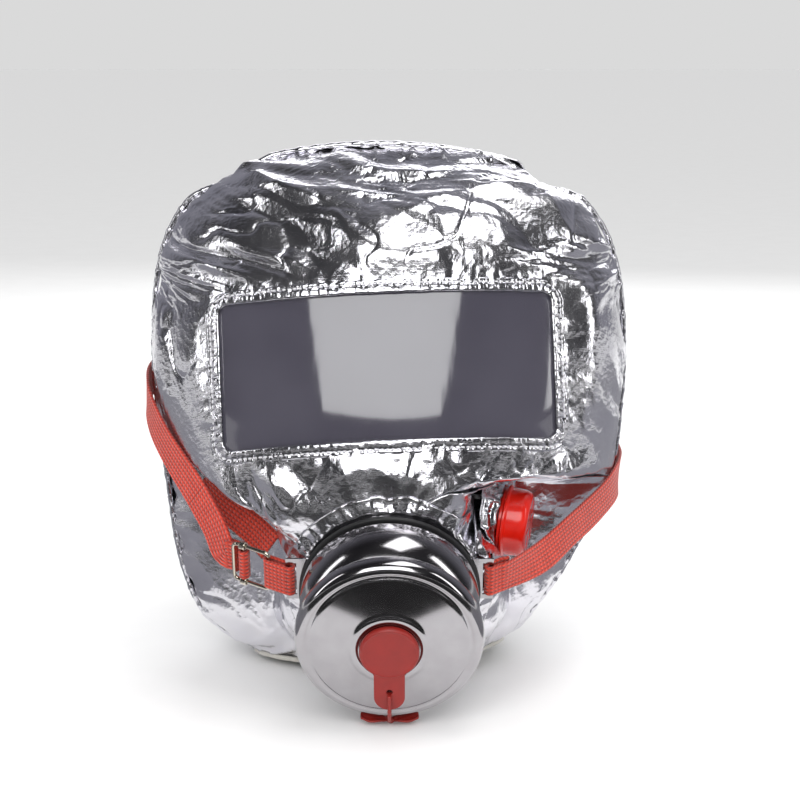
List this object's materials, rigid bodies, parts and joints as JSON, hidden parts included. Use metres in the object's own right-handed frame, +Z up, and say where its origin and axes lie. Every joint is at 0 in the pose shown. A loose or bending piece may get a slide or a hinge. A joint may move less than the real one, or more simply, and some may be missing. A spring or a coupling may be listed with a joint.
{
  "type": "smoke hood",
  "caption": "Foil-cloth escape hood with a wide clear visor, a steel filter canister with a red pull plug, an exhalation valve, a nose cup and a red head strap with a buckle.",
  "frame": {"origin": "middle of the neck opening, at the height where the hood rests on the wearer's shoulders", "axes": "+Z up to the crown, -Y out through the visor and the canister, +X towards the wearer's left, where the exhalation valve is"},
  "size_m": [0.3017, 0.3024, 0.3256],
  "materials": {
    "foil_fabric": "mirror-bright aluminised cloth, crinkled",
    "cotton_lining": "plain woven cotton tape and lining",
    "clear_film": "clear polyester film",
    "elastic": "braided elastic",
    "polished_steel": "drawn stainless sheet, bright polished",
    "black_rubber": "moulded rubber, satin",
    "red_rubber": "moulded red rubber, satin",
    "red_plastic": "glossy moulded plastic",
    "red_webbing": "ribbed cotton-polyester webbing",
    "nickel_wire": "nickel-plated steel wire",
    "silicone_cup": "translucent silicone",
    "silicone_flap": "thin silicone disc",
    "perforated_steel": "perforated sheet",
    "filter_paper": "pleated glass-fibre paper",
    "filter_felt": "needled felt",
    "charcoal": "packed granules",
    "catalyst": "packed granules",
    "drier": "packed beads",
    "nylon": "moulded nylon"
  },
  "bodies": {
    "hood": {"face_panel": "foil_fabric", "chin_panel": "foil_fabric", "back_panel": "foil_fabric", "visor": "clear_film", "visor_hem": "foil_fabric", "seam_piping": "foil_fabric", "hem_tape": "cotton_lining", "neck_seal": "cotton_lining", "neck_elastic": "elastic", "canister_collar": "foil_fabric", "strap_ring": "polished_steel", "canister_gasket": "black_rubber", "canister_shell": "polished_steel", "canister_lid": "polished_steel", "dust_felt": "filter_felt", "carbon_bed": "charcoal", "catalyst_bed": "catalyst", "drier_bed": "drier", "smoke_filter": "filter_paper", "rear_grille": "perforated_steel", "front_grille": "perforated_steel", "retaining_spring": "nickel_wire", "lock_nut": "nylon", "inhale_seat": "nylon", "nose_cup": "silicone_cup", "valve_patch": "foil_fabric", "valve_seat": "red_plastic", "valve_lock_ring": "red_plastic", "valve_cap": "red_plastic", "left_anchor_loop": "red_webbing", "head_strap": "red_webbing"},
    "inlet_plug": {"inlet_plug": "red_rubber", "pull_cord": "red_rubber", "pull_bow": "red_rubber"},
    "outlet_plug": {"outlet_plug": "red_rubber"},
    "inhale_flap": {"inhale_flap": "silicone_flap"},
    "valve_flap": {"valve_flap": "silicone_flap"},
    "buckle_frame": {"buckle_frame": "nickel_wire"},
    "buckle_bar": {"buckle_bar": "nickel_wire", "strap_turn": "red_webbing"}
  },
  "joints": [
    {"name": "inlet_plug_pull", "type": "slide", "parent": "hood", "child": "inlet_plug", "axis": [0, -0.9397, -0.342], "range_m": [0, 0.04]},
    {"name": "outlet_plug_pull", "type": "slide", "parent": "hood", "child": "outlet_plug", "axis": [0, 0.9397, 0.342], "range_m": [0, 0.025]},
    {"name": "inhale_flap_lift", "type": "slide", "parent": "hood", "child": "inhale_flap", "axis": [0, 0.9397, 0.342], "range_m": [0, 0.003], "stiffness_N_per_m": 60, "springref_m": -0.0005},
    {"name": "valve_flap_lift", "type": "slide", "parent": "hood", "child": "valve_flap", "axis": [0.9723, -0.2005, -0.1203], "range_m": [0, 0.0012], "stiffness_N_per_m": 60, "springref_m": -0.0005},
    {"name": "buckle_swing", "type": "hinge", "parent": "hood", "child": "buckle_frame", "pos_m": [-0.07041, -0.11824, 0.06158], "axis": [0, 0.342, -0.9397], "range_deg": [-12, 12], "stiffness_Nm_per_rad": 0.03},
    {"name": "buckle_bar_slide", "type": "slide", "parent": "buckle_frame", "child": "buckle_bar", "axis": [0.8685, -0.4658, -0.1695], "range_m": [0, 0.008]}
  ]
}
